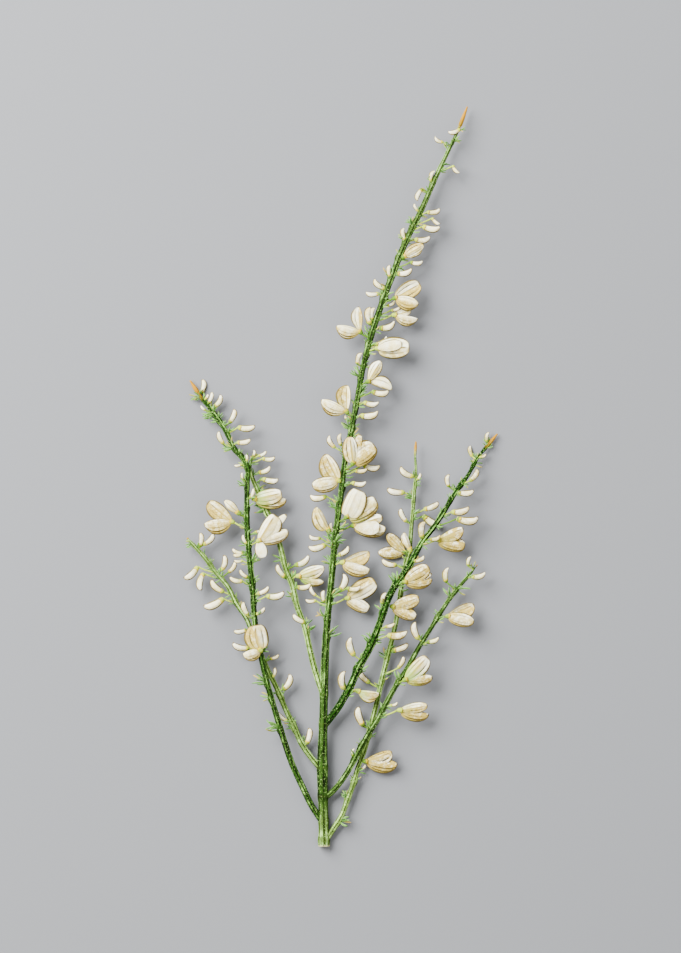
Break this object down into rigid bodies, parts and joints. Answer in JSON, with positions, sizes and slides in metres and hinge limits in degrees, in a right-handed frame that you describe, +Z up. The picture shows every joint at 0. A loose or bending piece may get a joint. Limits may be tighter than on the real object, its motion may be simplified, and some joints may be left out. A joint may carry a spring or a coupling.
{
  "type": "dried flower sprig",
  "caption": "Cut sprig of white broom laid flat: ribbed green stems with ivory pea-shaped blooms, curved buds, small leaflets and amber tips, for dried-flower displays.",
  "frame": {"origin": "middle of the sprig's outline, on the surface that it lies on", "axes": "+Y along the main stem from its cut end to its tip, +X to the sprig's right seen from above, +Z up"},
  "size_m": [0.1261, 0.2964, 0.013],
  "materials": {
    "stem": "matte",
    "petal": "matte"
  },
  "bodies": {
    "root": {"main_stem": "stem", "left_outer_stem": "stem", "left_middle_stem": "stem", "left_inner_stem": "stem", "right_low_stem": "stem", "right_inner_stem": "stem", "right_outer_stem": "stem", "main_bloom_1": "petal", "main_bloom_2": "petal", "main_bloom_3": "petal", "main_bloom_4": "petal", "main_bloom_5": "petal", "main_bloom_6": "petal", "main_bloom_7": "petal", "main_bloom_8": "petal", "main_bloom_9": "petal", "main_bloom_10": "petal", "main_bloom_11": "petal", "main_bloom_12": "petal", "main_bloom_13": "petal", "main_bloom_14": "petal", "left_outer_bloom_1": "petal", "left_outer_bloom_2": "petal", "left_outer_bloom_3": "petal", "left_outer_bloom_4": "petal", "left_inner_bloom_1": "petal", "left_inner_bloom_2": "petal", "right_low_bloom_1": "petal", "right_low_bloom_2": "petal", "right_low_bloom_3": "petal", "right_low_bloom_4": "petal", "right_inner_bloom_1": "petal", "right_inner_bloom_2": "petal", "right_inner_bloom_3": "petal", "right_outer_bloom_1": "petal", "right_outer_bloom_2": "petal", "right_outer_bloom_3": "petal"}
  },
  "joints": []
}
